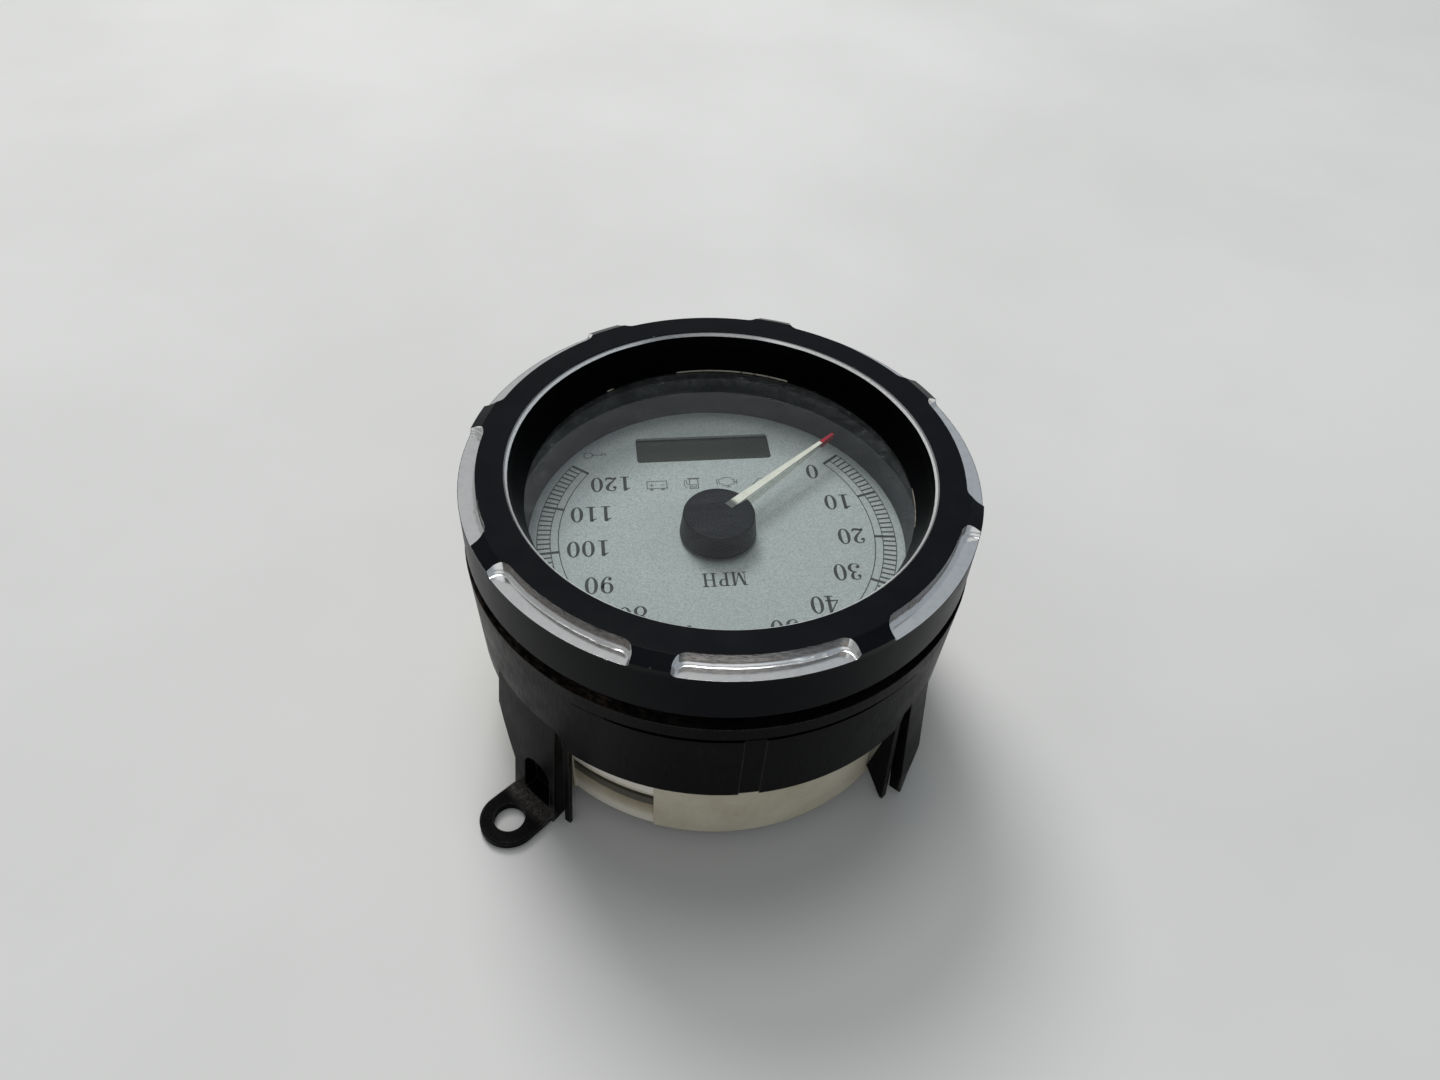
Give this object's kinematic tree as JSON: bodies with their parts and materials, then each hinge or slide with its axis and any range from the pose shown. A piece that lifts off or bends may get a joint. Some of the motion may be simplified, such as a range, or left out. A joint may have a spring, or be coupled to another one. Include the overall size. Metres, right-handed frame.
{
  "type": "motorcycle instrument cluster",
  "caption": "Round motorcycle speedometer with sweeping pointer and small display, in a fluted billet bezel with a lugged mounting bracket.",
  "frame": {"origin": "on the dial's axis, level with the undersides of the bracket's feet and lugs", "axes": "+Z along the dial's axis out through the glass, +Y towards the dial's twelve o'clock, +X to the right seen from the rider's side"},
  "size_m": [0.136, 0.1336, 0.0853],
  "materials": {
    "black_anodised": "machined billet, black anodised, with bright diamond-cut chamfers and edges rubbed bright",
    "foam_tape": "closed-cell foam tape",
    "rolled_steel": "thin steel, black paint, edges rolled over",
    "lens_glass": "clear flat glass",
    "gasket_rubber": "moulded black rubber",
    "surround_plastic": "fine-grained dark grey plastic, a little dusty",
    "dial_film": "printed silver-grey dial, black figures and scale",
    "case_plastic": "cream glass-filled nylon, sanded by its mould",
    "bracket_plastic": "black glass-filled nylon",
    "bracket_foam": "soft black foam rubber",
    "housing_plastic": "white reflective plastic",
    "display_glass": "two glass plates with liquid crystal and polariser",
    "display_frame": "black moulded frame",
    "guide_acrylic": "clear acrylic light guide",
    "zebra_rubber": "layered conductive and insulating rubber",
    "board_laminate": "green solder mask over glass-epoxy laminate",
    "led_plastic": "white packages with yellow phosphor",
    "zinc_steel": "zinc-plated steel",
    "turned_brass": "turned brass",
    "header_plastic": "black connector plastic",
    "gilt_pins": "gold-flashed pins",
    "tinned_pins": "tinned contacts",
    "chip_epoxy": "black epoxy packages with tinned leads",
    "capacitor_can": "drawn aluminium cans on black bases",
    "seal_silicone": "red-brown silicone",
    "vent_membrane": "black plastic around a breather membrane",
    "can_steel": "deep-drawn nickel-plated steel",
    "bobbin_plastic": "natural bearing-grade plastic",
    "copper_wire": "layers of enamelled copper wire",
    "ferrite": "moulded ferrite",
    "ground_steel": "ground and polished steel",
    "pointer_acrylic": "pale translucent acrylic, red painted tip",
    "cap_plastic": "satin black plastic"
  },
  "bodies": {
    "instrument": {"billet_bezel": "black_anodised", "bezel_tape_ring": "foam_tape", "rolled_bezel": "rolled_steel", "glass_lens": "lens_glass", "lens_gasket": "gasket_rubber", "case_body": "case_plastic", "mounting_bracket": "bracket_plastic", "bracket_gasket": "bracket_foam", "dial_surround": "surround_plastic", "dial_plate": "dial_film", "light_housing": "housing_plastic", "lcd_glass": "display_glass", "lcd_frame": "display_frame", "lcd_light_guide": "guide_acrylic", "zebra_strips": "zebra_rubber", "display_board": "board_laminate", "dial_leds": "led_plastic", "telltale_leds": "led_plastic", "display_screws": "zinc_steel", "board_spacers": "turned_brass", "main_board": "board_laminate", "board_link_header": "header_plastic", "board_link_pins": "gilt_pins", "microcontroller": "chip_epoxy", "driver_chips": "chip_epoxy", "board_capacitors": "capacitor_can", "voltage_regulator": "chip_epoxy", "connector_header": "header_plastic", "connector_pins": "tinned_pins", "connector_gasket": "seal_silicone", "vent_plug": "vent_membrane", "movement_can": "can_steel", "bobbin_lower": "bobbin_plastic", "bobbin_upper": "bobbin_plastic", "shaft_bush": "turned_brass", "coil_inner": "copper_wire", "coil_outer": "copper_wire", "movement_terminals": "tinned_pins"},
    "pointer": {"pointer_blade": "pointer_acrylic", "pointer_hub_cap": "cap_plastic", "pointer_bushing": "turned_brass", "pointer_shaft": "ground_steel", "rotor_magnet": "ferrite"}
  },
  "joints": [
    {"name": "pointer_sweep", "type": "hinge", "parent": "instrument", "child": "pointer", "pos_m": [0, 0, 0.0584], "axis": [0, 0, 1], "range_deg": [-259, 0]}
  ]
}
